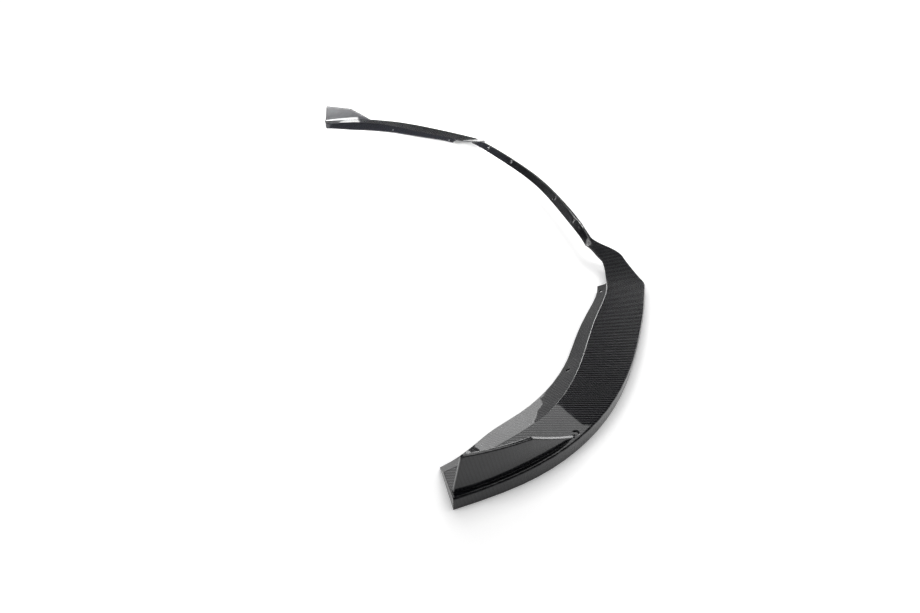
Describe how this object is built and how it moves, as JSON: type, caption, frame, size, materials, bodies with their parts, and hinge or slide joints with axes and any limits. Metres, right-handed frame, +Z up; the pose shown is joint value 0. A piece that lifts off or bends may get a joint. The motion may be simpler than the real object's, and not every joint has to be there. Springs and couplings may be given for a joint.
{
  "type": "front splitter lip",
  "caption": "Wide U-shaped front splitter lip in gloss carbon-fibre weave, with flat side blades, a raised centre strip, fixing holes and an upright winglet at each rear end.",
  "frame": {"origin": "on the floor, under the middle of the lip's box", "axes": "+X across the car, -Y towards the front, +Z up"},
  "size_m": [1.806, 0.4606, 0.0661],
  "materials": {
    "carbon_fibre": "gloss clear coat over twill weave"
  },
  "bodies": {
    "root": {"splitter_lip": "carbon_fibre"}
  },
  "joints": []
}
